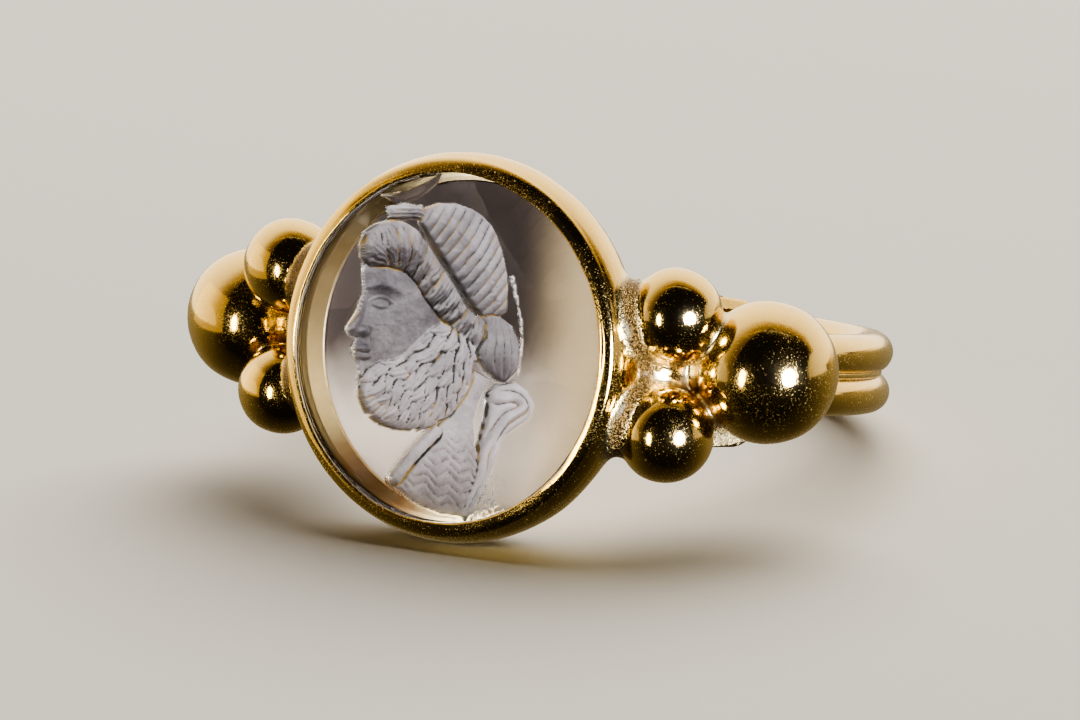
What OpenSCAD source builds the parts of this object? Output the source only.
// Intaglio ring: two gold wires soldered side by side, ball shoulders, a round cup
// and a rock-crystal seal stone over a thin reflecting foil.
// Units are millimetres. The ring lies on its side, as it rests by itself on a table.
// It touches the table with the lower edge of the cup and the back of the lower wire.
// The head is drawn in its own frame: X to the right, Y up along the finger, Z out of the stone.

/* [Hoop] */
// Inner diameter, a worn finger size
finger_d = 18.2; // [17:0.1:20]
// Diameter of each of the two wires
wire_d = 1.5; // [1.4:0.05:1.7]
// Height between the centres of the two wires
wire_pitch = 1.46; // [1.36:0.02:1.5]
// Depth filed flat on the inside of the wires
filed_depth = 0.1; // [0.06:0.01:0.15]

/* [Head] */
// Height of the rim of the cup above the centre of the hoop
head_rise = 12.15; // [12.1:0.05:12.4]
// Distance that the cup sits to the right of the middle of the hoop
head_shift = 0.13; // [0.1:0.01:0.16]
// Diameter of the cup over its widest part
cup_d = 13.9; // [13.5:0.1:14.4]
// Depth of the cup from the rim to its back
cup_depth = 3.0; // [2.9:0.05:3.05]
// Radius of the rounded wall, seen in section
wall_round = 1.9; // [1.7:0.05:2]
// Depth of the widest part below the rim
widest_depth = 1.15; // [1:0.05:1.3]
// Diameter of the bead that is burnished over the stone
rim_bead_d = 0.4; // [0.3:0.02:0.44]

/* [Shoulders] */
// Thickness of the shoulder plate
plate_t = 0.45; // [0.3:0.05:0.6]
// Height of the plate beside the cup
plate_h_head = 6.5; // [6:0.1:7]
// Height of the plate at its free end
plate_h_end = 5.3; // [5:0.1:6]
// Angle around the hoop where the plate ends, from the middle of the head
plate_end_deg = 59.5; // [57:0.5:62]
// Corner radius at the free end of the plate
plate_corner = 1.1; // [0.6:0.1:1.6]
// Angle around the hoop of the two small balls
small_ball_deg = 39.1; // [38.9:0.1:39.3]
// Angle around the hoop of the large ball
big_ball_deg = 54.3; // [54.1:0.1:54.5]
// Diameter of the small balls
small_ball_d = 3.4; // [3.36:0.02:3.44]
// Diameter of the large balls
big_ball_d = 5.04; // [5:0.02:5.08]
// Depth that the small balls are sunk in the plate
small_ball_sink = 0.08; // [0.06:0.01:0.12]
// Depth that the large ball is sunk in the plate
big_ball_sink = 0.42; // [0.4:0.02:0.5]

/* [Stone] */
// Depth of the flat front of the stone below the rim of the cup
front_depth = 0.1; // [0.06:0.01:0.14]
// Thickness of the stone from the rim plane to its flat back
stone_back = 2.52; // [2.4:0.02:2.54]
// Gap between pieces that lie against each other
gap = 0.04; // [0.03:0.01:0.05]
// Deepest part of the engraving below the front of the stone
engraving_depth = 0.8; // [0.5:0.05:1]
// Depth of the engraving at its edge
engraving_edge = 0.08; // [0.05:0.01:0.1]
// Spacing of the rows and columns that the engraving is worked out on
engraving_cell = 0.24; // [0.2:0.01:0.3]

/* [Hidden] */
$fn = 96;

bore_r = finger_d / 2;
wire_r = wire_d / 2;
hoop_r = bore_r - filed_depth + wire_r;
wire_z = wire_pitch / 2;
plate_r = hoop_r + wire_r + plate_t;
plate_bite = 0.15;
plate_mid_deg = 43;
plate_start = -3.4;
seam_t = 0.4;

cup_r = cup_d / 2;
bead_r = rim_bead_d / 2;
wall_centre = [cup_r - wall_round, -widest_depth];
bead_reach = 1.47;
bead_at = [wall_centre[0] + bead_reach, -bead_r];
foil_t = 0.08;
foil_r = 5.9;
seat_depth = stone_back + 2 * gap + foil_t;

// Section of the stone: widest at its girdle, and tapered below it, as the seat is
girdle_r = bead_at[0] - 0.1;
girdle_depth = 0.5;
bevel = 0.21;
stone_back_r = foil_r + 0.06;
seat_back_r = foil_r + 0.1;
seat_neck_r = bead_at[0] - 0.06;
seat_neck_depth = 0.55;

// The ring rests on the wall of the cup in front and on the lower wire behind.
// Both are round in section, so the floor is the common tangent of two circles.
front_y = -(head_rise - widest_depth);
front_z = -wall_centre[0];
span_y = hoop_r - front_y;
span_z = -wire_z - front_z;
rest_tilt = atan2(span_z, span_y) + asin((wall_round - wire_r) / norm([span_y, span_z]));
lift = wall_round - (-front_y * sin(rest_tilt) + front_z * cos(rest_tilt));
reach_back = hoop_r * cos(rest_tilt) + wire_z * sin(rest_tilt) + wire_r;
reach_front = (head_rise - bead_r) * cos(rest_tilt) + bead_at[0] * sin(rest_tilt) + bead_r;
slide_y = (reach_front - reach_back) / 2;

module at_rest() {
    translate([0, slide_y, lift]) rotate([-rest_tilt, 0, 0]) children();
}

module head_frame() {
    translate([head_shift, -head_rise, 0]) rotate([90, 0, 0]) children();
}

// Balls: side of the head, angle on the hoop, height along the finger, diameter, depth sunk.
// They were set by hand, so each differs a little from its neighbour.
BALL_SIDE = 0;
BALL_DEG = 1;
BALL_HEIGHT = 2;
BALL_D = 3;
BALL_SINK = 4;
BALLS = [
    [-1, big_ball_deg - 0.2, -0.03, big_ball_d, big_ball_sink - 0.04],
    [1, big_ball_deg + 0.2, 0.24, big_ball_d, big_ball_sink],
    [-1, small_ball_deg - 0.2, 2.1, small_ball_d + 0.08, small_ball_sink - 0.02],
    [-1, small_ball_deg - 0.2, -2.36, small_ball_d - 0.1, small_ball_sink],
    [1, small_ball_deg + 0.1, 1.98, small_ball_d - 0.06, small_ball_sink],
    [1, small_ball_deg + 0.3, -2.24, small_ball_d, small_ball_sink],
];

// Pools of solder on the plate: angle on the hoop, height along the finger, diameter.
SOLDER = [
    [46.5, 0, 2.6],
    [37.4, 0, 2.9],
];

// A place around the hoop, with Z pointing straight out from the hoop's centre.
module on_hoop(side, deg, radius, height) {
    rotate([0, 0, side * deg]) translate([0, -radius, height]) rotate([90, 0, 0]) children();
}

// Both wires and the solder between them, filed flat where the finger goes.
module hoop() {
    rotate_extrude($fn = 180) difference() {
        union() {
            for (side = [-1, 1]) translate([hoop_r, side * wire_z]) circle(r = wire_r);
            translate([bore_r - filed_depth, -wire_z]) square([seam_t, wire_pitch]);
        }
        translate([0, -wire_pitch]) square([bore_r, 2 * wire_pitch]);
    }
}

module plate_outline() {
    end = plate_r * sin(plate_end_deg - plate_mid_deg);
    inner = end - plate_corner;
    flank = plate_h_end / 2 - plate_corner;
    polygon([
        [plate_start, -plate_h_head / 2],
        [inner, -plate_h_end / 2],
        [inner, plate_h_end / 2],
        [plate_start, plate_h_head / 2],
    ]);
    translate([inner, -flank]) square([plate_corner, 2 * flank]);
    for (side = [-1, 1]) translate([inner, side * flank]) circle(r = plate_corner);
}

module shoulder_plate() {
    intersection() {
        difference() {
            cylinder(r = plate_r, h = 2 * plate_h_head, center = true, $fn = 180);
            cylinder(r = plate_r - plate_t - plate_bite, h = 3 * plate_h_head,
                center = true, $fn = 180);
        }
        rotate([0, 0, plate_mid_deg]) rotate([90, 0, 0])
            linear_extrude(height = 2 * plate_r) plate_outline();
    }
}

module balls() {
    for (b = BALLS) {
        reach = plate_r + b[BALL_D] / 2 - b[BALL_SINK];
        on_hoop(b[BALL_SIDE], b[BALL_DEG], reach, b[BALL_HEIGHT]) sphere(d = b[BALL_D]);
    }
}

module solder_pools() {
    for (side = [-1, 1])
        for (s = SOLDER) on_hoop(side, s[0], plate_r, s[1]) sphere(d = s[2]);
}

module cup_body() {
    rotate_extrude($fn = 180) {
        intersection() {
            translate(wall_centre) circle(r = wall_round);
            translate([wall_centre[0], -cup_depth]) square([wall_round, cup_depth - bead_r]);
        }
        translate([0, -cup_depth]) square([wall_centre[0] + 0.01, cup_depth - bead_r]);
        translate(bead_at) circle(r = bead_r, $fn = 48);
    }
}

module stone_seat() {
    difference() {
        rotate_extrude($fn = 180) polygon([
            [0, 1],
            [bead_at[0], 1],
            [bead_at[0], -bead_r],
            [seat_neck_r, -2 * bead_r],
            [seat_neck_r, -seat_neck_depth],
            [seat_back_r, -seat_depth],
            [0, -seat_depth],
        ]);
        rotate_extrude($fn = 180) translate(bead_at) circle(r = bead_r, $fn = 48);
    }
}

module gold_ring() {
    color([0.83, 0.62, 0.28]) at_rest() difference() {
        union() {
            hoop();
            for (side = [0, 1]) mirror([side, 0, 0]) shoulder_plate();
            balls();
            solder_pools();
            head_frame() cup_body();
        }
        head_frame() stone_seat();
    }
}

// Main forms of the engraving, a bearded head in profile with a ribbed cap and a mantle.
// Each is an oval hollow: centre x, centre y, half width, half height, turn, depth share.
HOLLOWS = [
    [0.10, 2.40, 2.25, 2.70, 0, 0.85],      // cap
    [-0.90, 3.70, 1.10, 1.35, 0, 0.70],     // front of the cap
    [-2.20, 4.50, 0.70, 0.32, 8, 0.30],     // tuft above the brow
    [-3.05, 3.35, 0.95, 0.82, -8, 0.85],    // front hair roll
    [-2.05, 3.45, 1.00, 0.80, -14, 0.95],
    [-1.15, 2.85, 1.00, 0.78, -40, 1.00],
    [-0.35, 1.95, 1.00, 0.72, -48, 0.95],
    [0.55, 1.05, 1.00, 0.72, -48, 0.90],    // hair swept behind the ear
    [1.95, 0.25, 1.05, 1.30, 14, 0.95],     // knot of hair at the nape
    [-2.10, 0.85, 1.70, 2.10, 0, 0.62],     // cheek and brow
    [-3.92, 0.72, 0.26, 0.95, -22, 0.35],   // nose
    [-3.98, 0.10, 0.36, 0.28, 0, 0.42],
    [-3.62, -0.62, 0.34, 0.22, 10, 0.40],   // lips
    [-3.56, -1.02, 0.32, 0.22, -8, 0.40],
    [-1.25, -1.30, 2.25, 1.72, 0, 0.92],    // beard
    [0.00, -0.20, 1.02, 1.05, 0, 0.75],
    [0.70, -2.10, 1.05, 1.80, 3, 0.50],     // neck
    [0.45, -4.00, 1.15, 1.40, 6, 0.45],     // chest
    [-0.35, -4.70, 1.45, 1.00, 24, 0.55],
    [0.75, -5.20, 0.80, 0.70, 0, 0.45],
    [2.90, -1.75, 0.95, 0.66, -30, 0.70],   // mantle over the shoulder
    [2.30, -2.80, 0.48, 1.00, -16, 0.62],
    [1.85, -4.30, 0.42, 1.25, -17, 0.55],
    [1.45, -5.40, 0.36, 0.60, -20, 0.45],
];

// Depth of one hollow at a point: a round-bottomed oval, and less than nothing outside it.
function hollow_depth(h, p) =
    let (
        d = p - [h[0], h[1]],
        u = (d[0] * cos(h[4]) + d[1] * sin(h[4])) / h[2],
        v = (-d[0] * sin(h[4]) + d[1] * cos(h[4])) / h[3],
        q = u * u + v * v
    )
    q < 1 ? h[5] * engraving_depth * sqrt(1 - q) : 0;

function engraved(p) = max([for (h = HOLLOWS) hollow_depth(h, p)]);

// A cutter that ends below the front of the stone inside the hollows and above it elsewhere.
// Clear of the stone its underside is domed, so no two of its facets share a plane.
module engraving_cutter() {
    low = [-4.6, -6.1];
    high = [4.2, 5.4];
    clear = 0.45;
    dome_r = 108;
    top = 0.7;
    nx = round((high[0] - low[0]) / engraving_cell);
    ny = round((high[1] - low[1]) / engraving_cell);
    step = [(high[0] - low[0]) / nx, (high[1] - low[1]) / ny];
    bottom = [for (j = [0:ny]) for (i = [0:nx])
        let (
            p = [low[0] + i * step[0], low[1] + j * step[1]],
            depth = engraved(p)
        )
        [p[0], p[1], (depth > 0 ? -max(depth, engraving_edge)
            : clear - p * p / (2 * dome_r)) - front_depth]];
    row = nx + 1;
    last = row * ny;
    corners = [
        [low[0], low[1], top],
        [high[0], low[1], top],
        [high[0], high[1], top],
        [low[0], high[1], top],
    ];
    c = len(bottom);
    halves = [for (j = [0:ny - 1]) for (i = [0:nx - 1])
        let (a = j * row + i)
        each [[a, a + 1, a + 1 + row], [a, a + 1 + row, a + row]]];
    sides = [
        concat([for (i = [nx:-1:0]) i], [c, c + 1]),
        concat([for (j = [ny:-1:0]) j * row + nx], [c + 1, c + 2]),
        concat([for (i = [0:nx]) last + i], [c + 2, c + 3]),
        concat([for (j = [0:ny]) j * row], [c + 3, c]),
    ];
    lid = [[c + 3, c + 2, c + 1, c]];
    polyhedron(points = concat(bottom, corners), faces = concat(halves, sides, lid));
}

module stone_blank() {
    rotate_extrude($fn = 180) polygon([
        [0, -front_depth],
        [girdle_r - bevel, -front_depth],
        [girdle_r, -girdle_depth],
        [stone_back_r, -stone_back],
        [0, -stone_back],
    ]);
}

module crystal_intaglio() {
    color([0.86, 0.87, 0.88, 0.6]) at_rest() head_frame() difference() {
        stone_blank();
        engraving_cutter();
    }
}

module backing_foil() {
    color([0.72, 0.71, 0.70]) at_rest() head_frame()
        translate([0, 0, gap - seat_depth]) cylinder(r = foil_r, h = foil_t, $fn = 180);
}

gold_ring();
crystal_intaglio();
backing_foil();
